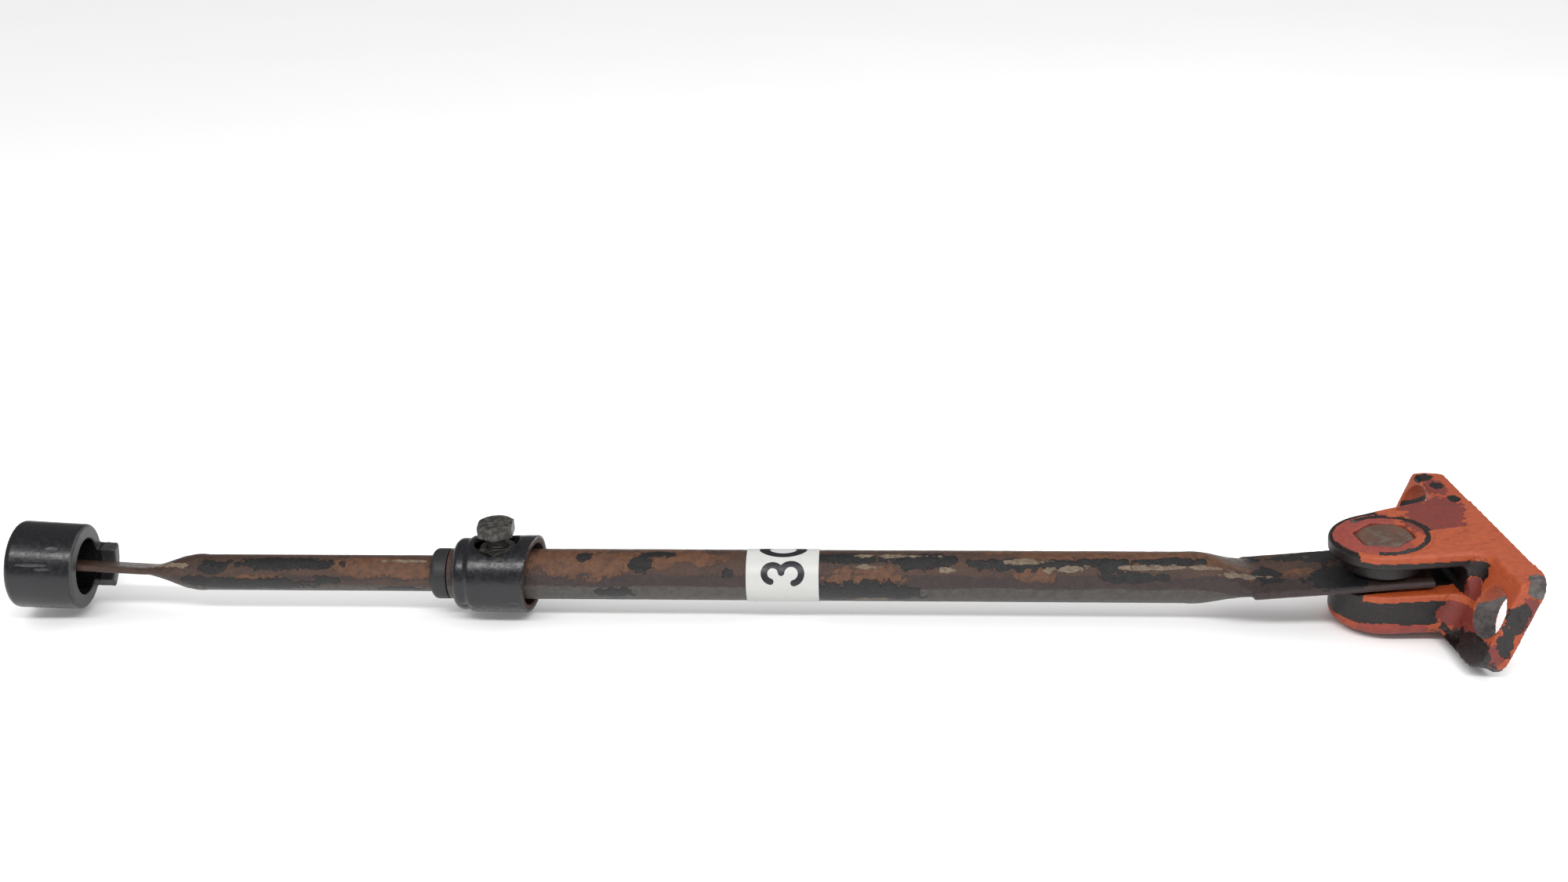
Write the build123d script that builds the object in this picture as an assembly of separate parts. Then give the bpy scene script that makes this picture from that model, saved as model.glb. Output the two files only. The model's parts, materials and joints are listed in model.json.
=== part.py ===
"""Telescopic stay arm: a cast clevis bracket, a pressed tube strut that swings in it on a bolt,
and an inner tube that slides, turns and is clamped by a set bolt in a collar.

Units are millimetres and degrees. The origin is the centre of the bracket's mounting face, +Z is up,
and the strut runs along X, away from the bracket towards -X.
"""
from build123d import *
from math import asin, cos, degrees, radians, sin, sqrt, tan
import os

# ---------------------------------------------------------------- driving dimensions
# strut stations: X measured from the pivot bolt's axis, along the strut
TUBE_MOUTH_X = -448.0       # open end of the outer tube
TUBE_ROUND_END_X = -93.0    # the round section ends here and the press starts
TUBE_FLAT_X = -60.0         # the flat starts here and bends up
TUBE_TIP_X = 18.6           # square end of the flat, past the bolt
ROD_TIP_X = -655.0          # end of the inner tube's flat, inside the end ring
ROD_FLAT_X = -601.0         # start of the inner tube's flat
ROD_ROUND_X = -570.5        # start of the inner tube's full round
ROD_INNER_END_X = -268.0    # hidden end of the inner tube
SET_BOLT_X = -423.7

# outer tube
TUBE_D = 25.0
TUBE_WALL = 2.0
TUBE_FLAT_W = 41.0
TUBE_FLAT_T = 4.0
FLAT_RISE_ANGLE = 5.0       # the flat is bent up by this much

# inner tube
ROD_D = 18.0
ROD_WALL = 1.75
ROD_FLAT_W = 26.4
ROD_FLAT_T = 3.5
ROD_TWIST = -21.5           # the inner tube is clamped turned by this much
ROD_FLAT_LIFT = 0.3         # the flat's centre stands this far above the axis where it starts
ROD_FLAT_SLOPE = 4.76       # it climbs by this angle towards the ring
ROD_FLAT_SWAY = 3.0         # and is bent sideways by this much
ROD_RUN_CLEARANCE = 0.06    # radial, between the inner tube, its bush and its ring

# bracket
BRACKET_YAW = 6.1           # the bracket is turned on the bolt by this much at rest
NOSE_R = 24.9               # clevis nose
NOSE_Y = 1.5                # the nose and the clevis stand a little to one side of the bolt
EAR_ROOT_Y = 3.2
EAR_ROOT_HALF_W = 34.0      # half the clevis width behind the plate
EAR_TOP_Z = 17.2            # heights from the flat's middle plane
BOSS_TOP_Z = 17.8
SLOT_TOP_Z = 9.8
SLOT_END_X = 28.2
BOSS_R = 19.5
PLATE_TOP_X = 51.1          # top edge of the mounting face, from the bolt's axis
PLATE_LEAN = 25.0           # the plate leans so that its foot is nearer the nose
PLATE_H = 52.0
PLATE_ENDS_Y = (-63.0, 65.0)
PLATE_T = 12.0
PLATE_HOLE_D = 24.0
PLATE_HOLES = ((-50.0, 26.0), (50.5, 19.5))     # across, and down from the top edge
PLATE_CORNER_R = 9.0
SEAM_R = 7.5                # between the clevis sides and the plate
TOP_EDGE_R = 2.0
LOW_EDGE_R = 6.0
SLOT_R = 2.5
SLOT_LIP_R = 1.6

# pivot fasteners
WASHER_T = 1.0
SIDE_GAP = 0.15             # between the flat and each wear washer
BOLT_D = 16.0
BOLT_AF = 24.0
BOLT_HEAD_H = 10.0
BOLT_L = 35.0
BOLT_TURN = 4.5             # the hex pocket is a little off the clevis's centre line
SPRING_WASHER_T = 3.5
PIVOT_NUT_H = 13.0
NUT_POCKET_R = 16.2
PIVOT_CLEARANCE = 0.08      # radial, bolt in the flat

# collar, lock nut, set bolt and guide bush
COLLAR_X0 = -444.5
COLLAR_STEP_X = -437.5
COLLAR_X1 = -406.8
COLLAR_R0 = 17.6
COLLAR_R1 = 18.7
COLLAR_R2 = 19.1
COLLAR_BORE_R = 15.2
COLLAR_END_WALL = 5.5
COLLAR_HOLE_D = 22.5
NUT_AF = 17.0
NUT_Z0 = 10.3
NUT_Z1 = 15.2
SET_D = 10.0
SET_HEAD_Z = 21.3
SET_HEAD_H = 6.7
SET_HEAD_TURN = 33.4
PAD_Z0 = 9.3
PAD_T = 2.0
BUSH_HEAD_X0 = -456.2
BUSH_END_X = -435.5

# end ring
RING_L = 33.5
RING_FACE_AT = (-632.9, 0.0, 2.7)       # middle of the face the tongue stands on
RING_R_OUTER_END = 21.6
RING_R_INNER_END = 21.2
RING_BORE_R = 13.7
RING_SWAY = 4.3
TONGUE_L = 9.0
TONGUE_HALF_CHORD = 11.3

# label
LABEL_X0 = -301.5
LABEL_X1 = -266.5
LABEL_T = 0.2
LABEL_ARC = 200.0
LABEL_FACING = 153.0        # middle of the label, about the tube's axis, from +Y towards +Z

PIVOT_RISE = -TUBE_FLAT_X * tan(radians(FLAT_RISE_ANGLE))
WASHER_Z0 = TUBE_FLAT_T / 2 + SIDE_GAP
PAD_FACE_Z = WASHER_Z0 + WASHER_T       # the boss and the lower ear both start here
NUT_POCKET_Z = -10.2                    # the pivot nut's washer seats here
POCKET_FLOOR_Z = BOSS_TOP_Z - 0.1 - BOLT_HEAD_H


# ---------------------------------------------------------------- placing
def bracket_pose():
    """Bracket frame in the strut frame: Z is the bolt's axis, Z = 0 the flat's middle plane."""
    return Pos(0, 0, PIVOT_RISE) * Rot(Y=-FLAT_RISE_ANGLE) * Rot(Z=BRACKET_YAW)


def face_centre():
    """Centre of the mounting face, in the bracket frame."""
    lean = radians(PLATE_LEAN)
    middle_y = sum(PLATE_ENDS_Y) / 2
    return Pos(PLATE_TOP_X - PLATE_H / 2 * sin(lean), middle_y, EAR_TOP_Z - PLATE_H / 2 * cos(lean))


HOME = Pos(-(bracket_pose() * face_centre()).position)
BRACKET = HOME * bracket_pose()
STRUT = HOME


# ---------------------------------------------------------------- small helpers
def turned(profile):
    """A solid of revolution about X, from (x, radius) corners."""
    face = make_face(Polyline(*[(x, r, 0) for x, r in profile], close=True))
    return revolve(face, Axis.X)


def hexagon(across_flats, turn=0.0):
    return Rot(Z=turn) * RegularPolygon(across_flats / 2, 6, major_radius=False)


def hex_body(across_flats, z0, z1, turn=0.0, crown_top=True, crown_bottom=False):
    """A hexagonal prism whose corners are turned off at 30 degrees."""
    corner = across_flats / sqrt(3)
    rim = across_flats * 0.475
    drop = (corner - rim) * tan(radians(30))
    top = [(rim, z1), (corner + 0.1, z1 - drop)] if crown_top else [(corner + 0.1, z1)]
    low = [(corner + 0.1, z0 + drop), (rim, z0)] if crown_bottom else [(corner + 0.1, z0)]
    outline = [(0, z1)] + top + low + [(0, z0)]
    envelope = revolve(make_face(Polyline(*[(r, 0, z) for r, z in outline], close=True)), Axis.Z)
    prism = extrude(Pos(0, 0, z0) * hexagon(across_flats, turn), z1 - z0)
    return prism & envelope


def shank(radius, z0, z1, tip_chamfer):
    """A plain shank whose lower end is chamfered."""
    profile = [
        (0, z1),
        (radius, z1),
        (radius, z0 + tip_chamfer),
        (radius - tip_chamfer, z0),
        (0, z0),
    ]
    return revolve(make_face(Polyline(*[(r, 0, z) for r, z in profile], close=True)), Axis.Z)


def washer(outer_r, inner_r, z0, z1):
    ring = Cylinder(outer_r, z1 - z0) - Cylinder(inner_r, z1 - z0)
    return Pos(0, 0, (z0 + z1) / 2) * ring


def pressed(stations):
    """A loft along X through ellipses: (x, half width, half height, aside, lift, turn)."""
    sections = []
    for x, half_w, half_h, aside, lift, turn in stations:
        plane = Plane(origin=(x, aside, lift), x_dir=(0, 1, 0), z_dir=(1, 0, 0))
        sections.append(plane * Rot(Z=turn) * Ellipse(half_w, half_h))
    return loft(sections)


# ---------------------------------------------------------------- bracket
def make_bracket():
    lean = radians(PLATE_LEAN)
    foot_z = EAR_TOP_Z - PLATE_H * cos(lean) + PLATE_T * sin(lean)
    back = Plane(
        origin=(PLATE_TOP_X, 0, EAR_TOP_Z),
        x_dir=(0, 1, 0),
        z_dir=(cos(lean), 0, -sin(lean)),
    )
    roof_overlap = 8.0
    length = PLATE_ENDS_Y[1] - PLATE_ENDS_Y[0]
    middle_y = sum(PLATE_ENDS_Y) / 2
    blank = Pos(middle_y, (roof_overlap - PLATE_H) / 2) * Rectangle(length, PLATE_H + roof_overlap)
    plate = extrude(back * blank, -PLATE_T) - Pos(0, 0, EAR_TOP_Z + 50) * Box(300, 300, 100)
    nose = Pos(0, NOSE_Y) * Circle(NOSE_R)
    root = Pos(56, EAR_ROOT_Y) * Rectangle(8, 2 * EAR_ROOT_HALF_W)
    outline = make_hull(nose.edges() + root.edges())
    block = extrude(Pos(0, 0, foot_z) * outline, EAR_TOP_Z - foot_z)
    body = block - back * Pos(0, 0, 98) * Box(400, 400, 200) + plate
    seams = [
        e
        for e in body.edges().filter_by(GeomType.LINE)
        if 22 < abs(e.center().Y) < 40 and abs((e @ 1 - e @ 0).Z) > 8 and 20 < e.center().X < 45
    ]
    body = fillet(seams, SEAM_R)
    under = [f for f in body.faces().filter_by(GeomType.PLANE) if abs(f.center().Z - foot_z) < 0.01]
    body = fillet([e for f in under for e in f.edges() if e.center().X < 17.5], LOW_EDGE_R)
    top = body.faces().sort_by(Axis.Z)[-1]
    body = fillet([e for e in top.edges() if e.center().X < 46], TOP_EDGE_R)
    slot_h = SLOT_TOP_Z + PAD_FACE_Z
    slot = Pos(SLOT_END_X - 60, 0, SLOT_TOP_Z - slot_h / 2) * Box(120, 120, slot_h)
    slot = fillet([e for e in slot.edges().filter_by(Axis.Y) if e.center().X > 0], SLOT_R)
    body = body - slot
    lower_lip = [f for f in body.faces().filter_by(GeomType.PLANE) if abs(f.center().Z + PAD_FACE_Z) < 0.01]
    body = fillet([e for f in lower_lip for e in f.edges() if e.center().X < SLOT_END_X - 3], SLOT_LIP_R)
    boss_h = BOSS_TOP_Z - PAD_FACE_Z
    boss = Pos(0, 0, PAD_FACE_Z + boss_h / 2) * Cylinder(BOSS_R, boss_h)
    body = body + chamfer(boss.edges().filter_by(GeomType.CIRCLE), 0.5)
    pocket = hexagon(BOLT_AF + 0.7, 30 + BOLT_TURN)
    body = body - extrude(Pos(0, 0, POCKET_FLOOR_Z) * pocket, BOLT_HEAD_H + 5)
    body = body - Cylinder(BOLT_D / 2 + 0.2, 120)
    body = body - Pos(0, 0, NUT_POCKET_Z - 50) * Cylinder(NUT_POCKET_R, 100)
    for hole_y, down in PLATE_HOLES:
        body = body - back * Pos(hole_y, -down, 0) * Cylinder(PLATE_HOLE_D / 2, 60)
    for side, end_y in zip((-1, 1), PLATE_ENDS_Y):
        for top_y, r in ((0, PLATE_CORNER_R), (-PLATE_H, PLATE_CORNER_R + 2)):
            inward = 1 if top_y < 0 else -1
            centre = (end_y - side * r, top_y + inward * r)
            corner = Pos(centre[0] + side * r, centre[1] - inward * r) * Rectangle(2 * r, 2 * r)
            corner = corner - Pos(*centre) * Circle(r)
            body = body - extrude(back * corner, 30, both=True)
    return body


def add_bracket_nodes(nodes):
    nodes["bracket"] = BRACKET * make_bracket()
    head = hex_body(BOLT_AF, POCKET_FLOOR_Z, POCKET_FLOOR_Z + BOLT_HEAD_H, 30 + BOLT_TURN)
    stem = shank(BOLT_D / 2, POCKET_FLOOR_Z - BOLT_L, POCKET_FLOOR_Z, 1.5)
    nodes["pivot_bolt"] = BRACKET * (head + stem)
    for name, side in (("wear_washer_upper", 1), ("wear_washer_lower", -1)):
        z0, z1 = sorted((side * WASHER_Z0, side * PAD_FACE_Z))
        nodes[name] = BRACKET * washer(15.0, BOLT_D / 2 + 0.25, z0, z1)
    seat = NUT_POCKET_Z
    split = Pos(12, 0, seat) * Rot(X=25) * Box(12, 2.2, 20)
    ring = washer(13.7, BOLT_D / 2 + 0.25, seat - SPRING_WASHER_T, seat)
    nodes["pivot_spring_washer"] = BRACKET * (ring - split)
    nut_top = seat - SPRING_WASHER_T
    nut = hex_body(BOLT_AF, nut_top - PIVOT_NUT_H, nut_top, 12.0, True, True)
    nut = nut - Pos(0, 0, nut_top) * Cylinder(BOLT_D / 2 + 0.05, 60)
    nodes["pivot_nut"] = BRACKET * nut


# ---------------------------------------------------------------- outer tube and what it carries
def flat_plate(start_x, start_y, start_z, end_x, width, thickness, angle, sway=0.0, turn=0.0):
    """A straight flat that starts at a station, climbs by an angle and may be bent sideways."""
    reach = (end_x - start_x) / cos(radians(angle))
    plate = Pos(reach / 2, 0, 0) * Rot(X=turn) * Box(abs(reach), width, thickness)
    side = 0.4 * thickness
    plate = fillet(plate.edges().filter_by(Axis.X), side)
    climb = -angle if end_x > start_x else angle
    return Pos(start_x, start_y, start_z) * Rot(Z=sway) * Rot(Y=climb) * plate


def make_outer_tube():
    r = TUBE_D / 2
    round_part = turned(
        [(TUBE_MOUTH_X, 0), (TUBE_MOUTH_X, r), (TUBE_ROUND_END_X, r), (TUBE_ROUND_END_X, 0)]
    )
    half_w = TUBE_FLAT_W / 2
    half_t = TUBE_FLAT_T / 2
    shoulder = pressed(
        [
            (TUBE_ROUND_END_X, r, r, 0, 0, 0),
            (TUBE_ROUND_END_X + 11, r * 1.07, r * 0.93, 0, 0, 0),
            (TUBE_ROUND_END_X + 24, r * 1.42, r * 0.5, 0, 0.2, 0),
            (TUBE_FLAT_X + 4, half_w - 0.3, half_t + 0.3, 0, 0.35, 0),
        ]
    )
    flat = flat_plate(
        TUBE_FLAT_X - 3, 0, 0, TUBE_TIP_X, TUBE_FLAT_W, TUBE_FLAT_T, FLAT_RISE_ANGLE
    )
    flat = Pos(0, 0, -3 * tan(radians(FLAT_RISE_ANGLE))) * flat
    body = round_part + shoulder + flat
    bore_r = r - TUBE_WALL
    bore = turned(
        [
            (TUBE_MOUTH_X - 1, 0),
            (TUBE_MOUTH_X - 1, bore_r),
            (TUBE_ROUND_END_X, bore_r),
            (TUBE_ROUND_END_X, 0),
        ]
    )
    closing = pressed(
        [
            (TUBE_ROUND_END_X, bore_r, bore_r, 0, 0, 0),
            (TUBE_ROUND_END_X + 22, bore_r * 1.2, 2.2, 0, 0, 0),
        ]
    )
    nut_seat = extrude(Pos(SET_BOLT_X, 0, 5) * hexagon(NUT_AF + 0.1, 30), 20)
    body = body - bore - closing - nut_seat
    pin = bracket_pose() * Cylinder(BOLT_D / 2 + PIVOT_CLEARANCE, 40)
    return body - pin


def make_collar():
    r0, r1, r2 = COLLAR_R0, COLLAR_R1, COLLAR_R2
    neck = TUBE_D / 2 + 0.05
    inner_x = COLLAR_X0 + COLLAR_END_WALL
    far_x = COLLAR_X1 + 8
    body = turned(
        [
            (COLLAR_X0, neck),
            (COLLAR_X0, r0),
            (COLLAR_STEP_X - 0.5, r0),
            (COLLAR_STEP_X + 1.5, r1),
            (far_x, r2),
            (far_x, COLLAR_BORE_R),
            (inner_x, COLLAR_BORE_R),
            (inner_x, neck),
        ]
    )
    rim = [
        e
        for e in body.edges().filter_by(GeomType.CIRCLE)
        if abs(e.center().X - COLLAR_X0) < 0.01 and e.radius > r0 - 0.01
    ]
    body = fillet(rim, 3.4)
    mouth = Plane(origin=(COLLAR_X1, 0, 0), x_dir=(0, 1, 0), z_dir=(1, -0.14, -0.08))
    body = body - mouth * Pos(0, 0, 20) * Box(80, 80, 40)
    return body - Pos(SET_BOLT_X, 0, 20) * Cylinder(COLLAR_HOLE_D / 2, 20)


def make_guide_bush():
    head_r = TUBE_D / 2 - 0.1
    spigot_r = TUBE_D / 2 - TUBE_WALL - 0.05
    bore_r = ROD_D / 2 + ROD_RUN_CLEARANCE
    shoulder_x = TUBE_MOUTH_X - 0.05
    body = turned(
        [
            (BUSH_HEAD_X0, bore_r),
            (BUSH_HEAD_X0, head_r),
            (shoulder_x, head_r),
            (shoulder_x, spigot_r),
            (BUSH_END_X, spigot_r),
            (BUSH_END_X, bore_r),
        ]
    )
    rim = [
        e
        for e in body.edges().filter_by(GeomType.CIRCLE)
        if abs(e.center().X - BUSH_HEAD_X0) < 0.01 and e.radius > head_r - 0.01
    ]
    return fillet(rim, 2.6)


def make_label():
    r = TUBE_D / 2 + 0.02
    length = LABEL_X1 - LABEL_X0
    plane = Plane(origin=(LABEL_X0, 0, 0), x_dir=(0, 1, 0), z_dir=(1, 0, 0))
    ring = Circle(r + LABEL_T) - Circle(r)
    gap = 360 - LABEL_ARC
    cut = make_face(
        Polyline(
            (0, 0),
            (60 * cos(radians(-gap / 2)), 60 * sin(radians(-gap / 2))),
            (70, 0),
            (60 * cos(radians(gap / 2)), 60 * sin(radians(gap / 2))),
            close=True,
        )
    )
    sector = ring - Rot(Z=LABEL_FACING + 180) * cut
    return extrude(plane * sector, length)


def add_tube_nodes(nodes):
    nodes["outer_tube"] = STRUT * make_outer_tube()
    nodes["label"] = STRUT * make_label()
    nodes["collar"] = STRUT * make_collar()
    nodes["guide_bush"] = STRUT * make_guide_bush()
    at_bolt = STRUT * Pos(SET_BOLT_X, 0, 0)
    nut = hex_body(NUT_AF, NUT_Z0, NUT_Z1, 30)
    nodes["lock_nut"] = at_bolt * (nut - Pos(0, 0, NUT_Z0) * Cylinder(SET_D / 2 + 0.06, 30))
    head = hex_body(NUT_AF, SET_HEAD_Z, SET_HEAD_Z + SET_HEAD_H, SET_HEAD_TURN)
    stem = shank(SET_D / 2, PAD_Z0 + PAD_T + 0.05, SET_HEAD_Z, 1.0)
    nodes["set_bolt"] = at_bolt * (head + stem)
    nodes["pressure_pad"] = at_bolt * (Pos(0, 0, PAD_Z0 + PAD_T / 2) * Cylinder(3.75, PAD_T))


# ---------------------------------------------------------------- inner tube and end ring
GROOVE_X0 = ROD_INNER_END_X - 12
GROOVE_L = 8.0
GROOVE_DEPTH = 0.5


def make_inner_tube():
    r = ROD_D / 2
    outer = turned(
        [
            (ROD_ROUND_X, 0),
            (ROD_ROUND_X, r),
            (GROOVE_X0, r),
            (GROOVE_X0, r - GROOVE_DEPTH),
            (GROOVE_X0 + GROOVE_L, r - GROOVE_DEPTH),
            (GROOVE_X0 + GROOVE_L, r),
            (ROD_INNER_END_X, r),
            (ROD_INNER_END_X, 0),
        ]
    )
    half_w = ROD_FLAT_W / 2
    half_t = ROD_FLAT_T / 2
    start_x = ROD_FLAT_X + 2
    flat_y = (start_x - RING_FACE_AT[0]) * tan(radians(ROD_FLAT_SWAY))
    shoulder = pressed(
        [
            (ROD_FLAT_X - 5, half_w - 0.2, half_t + 0.15, flat_y, ROD_FLAT_LIFT + 0.4, ROD_TWIST),
            (ROD_FLAT_X + 7, half_w * 0.92, r * 0.4, flat_y * 0.7, ROD_FLAT_LIFT * 0.6, ROD_TWIST),
            (ROD_FLAT_X + 18, r * 1.12, r * 0.84, flat_y * 0.2, 0.1, ROD_TWIST),
            (ROD_ROUND_X, r, r, 0, 0, ROD_TWIST),
        ]
    )
    flat = flat_plate(
        start_x,
        flat_y,
        ROD_FLAT_LIFT,
        ROD_TIP_X,
        ROD_FLAT_W,
        ROD_FLAT_T,
        ROD_FLAT_SLOPE,
        ROD_FLAT_SWAY,
        ROD_TWIST,
    )
    bore_r = r - ROD_WALL
    bore = turned(
        [(ROD_ROUND_X, 0), (ROD_ROUND_X, bore_r), (ROD_INNER_END_X + 1, bore_r), (ROD_INNER_END_X + 1, 0)]
    )
    return outer + shoulder + flat - bore


def ring_pose():
    """Centre of the end ring, its axis near the line of the inner tube's flat."""
    turn = Rot(Z=RING_SWAY) * Rot(Y=ROD_FLAT_SLOPE) * Rot(X=ROD_TWIST)
    return Pos(*RING_FACE_AT) * turn * Pos(-RING_L / 2, 0, 0)


def make_end_ring():
    half = RING_L / 2
    body = turned(
        [
            (-half, RING_BORE_R),
            (-half, RING_R_OUTER_END),
            (half, RING_R_INNER_END),
            (half, RING_BORE_R),
        ]
    )
    spread = degrees(asin(TONGUE_HALF_CHORD / (RING_R_INNER_END - 0.3)))
    wedge = make_face(
        Polyline(
            (0, 0),
            (60 * cos(radians(-spread)), 60 * sin(radians(-spread))),
            (80, 0),
            (60 * cos(radians(spread)), 60 * sin(radians(spread))),
            close=True,
        )
    )
    band = Circle(RING_R_INNER_END - 0.3) - Circle(RING_BORE_R + 0.3)
    root = Plane(origin=(half - 3, 0, 0), x_dir=(0, 1, 0), z_dir=(1, 0, 0))
    tongue = extrude(root * (band & wedge), TONGUE_L + 3)
    tip = [e for e in tongue.faces().sort_by(Axis.X)[-1].edges()]
    tongue = fillet(tip, 1.2)
    rims = body.edges().filter_by(GeomType.CIRCLE)
    outer_rims = [e for e in rims if e.radius > 18]
    bore_rims = [e for e in rims if e.radius < 18]
    outer_left = [e for e in outer_rims if e.center().X < 0]
    body = fillet(outer_left, 3.2)
    rims = body.edges().filter_by(GeomType.CIRCLE)
    outer_right = [e for e in rims if e.radius > 20 and e.center().X > half - 0.01]
    body = fillet(outer_right, 2.0)
    rims = body.edges().filter_by(GeomType.CIRCLE)
    bore_rims = [e for e in rims if abs(e.radius - RING_BORE_R) < 0.01]
    body = fillet(bore_rims, 0.8)
    return body + tongue


def add_rod_nodes(nodes):
    nodes["inner_tube"] = STRUT * make_inner_tube()
    ring_r = TUBE_D / 2 - TUBE_WALL - ROD_RUN_CLEARANCE
    seat_r = ROD_D / 2 - GROOVE_DEPTH + ROD_RUN_CLEARANCE
    x0 = GROOVE_X0 + 0.1
    x1 = GROOVE_X0 + GROOVE_L - 0.1
    nodes["rear_guide_ring"] = STRUT * turned([(x0, seat_r), (x0, ring_r), (x1, ring_r), (x1, seat_r)])
    nodes["end_ring"] = STRUT * ring_pose() * make_end_ring()


def main():
    nodes = {}
    add_bracket_nodes(nodes)
    add_tube_nodes(nodes)
    add_rod_nodes(nodes)
    os.makedirs("parts", exist_ok=True)
    for name, shape in nodes.items():
        export_step(shape, f"parts/{name}.step")
        print(name, round(shape.volume), "mm3")
    lean = radians(PLATE_LEAN)
    face = BRACKET * face_centre() * Rot(Y=90 + PLATE_LEAN)
    print("pivot", BRACKET.position, "axis", BRACKET.z_axis.direction)
    print("strut axis at", STRUT.position)
    print("mounting face", face.position, "faces", face.z_axis.direction)
    for hole_y, down in PLATE_HOLES:
        spot = Pos(PLATE_TOP_X - down * sin(lean), hole_y, EAR_TOP_Z - down * cos(lean))
        print("plate hole at", (BRACKET * spot).position)


main()
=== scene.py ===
"""Telescopic clevis stay: worn paint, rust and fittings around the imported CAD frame."""

import json
import math

import bpy
import numpy as np
from mathutils import Matrix, Vector


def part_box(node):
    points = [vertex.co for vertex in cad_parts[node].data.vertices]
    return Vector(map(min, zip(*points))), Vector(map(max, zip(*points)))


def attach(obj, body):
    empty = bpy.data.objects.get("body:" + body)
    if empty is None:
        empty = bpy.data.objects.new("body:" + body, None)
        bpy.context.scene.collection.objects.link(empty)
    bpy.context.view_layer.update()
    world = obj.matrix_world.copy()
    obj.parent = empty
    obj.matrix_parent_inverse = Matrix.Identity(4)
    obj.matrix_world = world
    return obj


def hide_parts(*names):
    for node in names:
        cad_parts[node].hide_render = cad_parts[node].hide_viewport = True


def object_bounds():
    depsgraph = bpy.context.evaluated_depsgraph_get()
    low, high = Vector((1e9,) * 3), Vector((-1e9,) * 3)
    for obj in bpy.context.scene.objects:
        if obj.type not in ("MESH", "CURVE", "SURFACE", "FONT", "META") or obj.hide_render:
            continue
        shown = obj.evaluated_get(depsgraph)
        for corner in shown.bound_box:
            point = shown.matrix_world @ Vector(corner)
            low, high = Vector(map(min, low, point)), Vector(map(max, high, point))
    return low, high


MM = 0.001

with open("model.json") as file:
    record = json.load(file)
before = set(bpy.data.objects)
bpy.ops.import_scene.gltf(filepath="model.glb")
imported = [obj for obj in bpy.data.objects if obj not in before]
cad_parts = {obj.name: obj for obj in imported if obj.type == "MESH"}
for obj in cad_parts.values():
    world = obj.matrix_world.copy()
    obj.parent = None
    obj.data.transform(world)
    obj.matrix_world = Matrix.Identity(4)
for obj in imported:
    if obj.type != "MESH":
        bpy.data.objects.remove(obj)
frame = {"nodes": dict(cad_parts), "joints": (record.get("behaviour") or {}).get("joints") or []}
cad_box = [list(corner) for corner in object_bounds()]
nodes = frame["nodes"]
joints = {j["name"]: j for j in frame["joints"]}

# The bracket leans and is yawed about the pivot; the strut's axis lies below the pivot's point.
LEAN = math.radians(-5.0)
YAW = math.radians(6.1)
STRUT_DROP = 5.249 * MM
PIVOT = np.array(joints["strut_pivot"]["pos_m"])
BRACKET_AXES = np.array(Matrix.Rotation(LEAN, 3, "Y") @ Matrix.Rotation(YAW, 3, "Z"))
STRUT = PIVOT - np.array([0.0, 0.0, STRUT_DROP])
SET_BOLT = np.array(joints["set_bolt_turn"]["pos_m"])

# The bracket's plate: its 25 degree lean, the (y, z) of its two bolt holes, near and far, and
# a radius just outside their walls, in mm.
PLATE_COS, PLATE_SIN = 0.906, 0.423
PLATE_HOLES = ((-50.0, -6.4), (50.5, -0.5))
BORE_REACH = 12.7

# The set bolt's thread and the deepest wear that is pressed in, in mm.
THREAD_PITCH = 1.5
THREAD_DEPTH = 0.62
DEEPEST_SINK = 3.0

# The label: radius in mm, ends and middle of the digits in degrees about the strut.
LABEL_RADIUS = 12.72
LABEL_ARC = (53.0, 253.0)
DIGITS_AT = 150.0
HALF_STROKE = 1.6
LABEL_CORNER = 2.4 * MM
LABEL_MARGIN = 0.02 * MM
FILM_THICKNESS = 0.16 * MM
LABEL_ROWS, LABEL_COLS = 151, 181

# The studio: half the floor's width in metres, its corners, the room's strength for surfaces,
# and what is added to it for reflections.
FLOOR_HALF = 8.0
FLOOR_CORNERS = ((-1, -1), (1, -1), (1, 1), (-1, 1))
ROOM_STRENGTH = 0.95
GLOSSY_CHANGE = -0.75

# The photograph's camera: azimuth, elevation and roll in degrees.
LENS_MM = 39.6
SENSOR_MM = 36.0
CLIP_START = 0.02
CAMERA_ANGLES = (4.544, 22.253, -1.734)
CAMERA_PLACE = (-0.26278, -0.75286, 0.37482)


def hashed(cell, seed):
    """A repeatable random number from 0 to 1 for each whole-number cell."""
    x, y, z = (cell[:, k].astype(np.uint64) for k in range(3))
    h = x * np.uint64(73856093) ^ y * np.uint64(19349663) ^ z * np.uint64(83492791)
    h = (h ^ np.uint64(seed * 7919 + 13)) * np.uint64(0x9E3779B97F4A7C15)
    h = (h ^ (h >> np.uint64(29))) * np.uint64(0xBF58476D1CE4E5B9)
    return ((h >> np.uint64(40)) & np.uint64(0xFFFF)).astype(float) / 65535.0


def value_noise(p, seed):
    """Smooth noise from 0 to 1: hashed numbers at the corners of a grid, blended between them."""
    base = np.floor(p)
    f = p - base
    f = f * f * (3.0 - 2.0 * f)
    base = base.astype(np.int64) + 100000
    total = np.zeros(len(p))
    for i in (0, 1):
        for j in (0, 1):
            for k in (0, 1):
                w = (f[:, 0] if i else 1 - f[:, 0]) * (f[:, 1] if j else 1 - f[:, 1])
                w = w * (f[:, 2] if k else 1 - f[:, 2])
                total += w * hashed(base + np.array([i, j, k]), seed)
    return total


def fbm(p, size_mm, seed, octaves=4):
    """Fractal noise from about -1 to 1; size_mm is the width of its largest lumps."""
    q = p / (size_mm * MM)
    total = np.zeros(len(p))
    weight = 1.0
    norm = 0.0
    for octave in range(octaves):
        total += weight * (value_noise(q, seed + octave) - 0.5)
        norm += weight
        weight *= 0.55
        q = q * 2.03 + 17.1
    return 2.6 * total / norm


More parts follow.
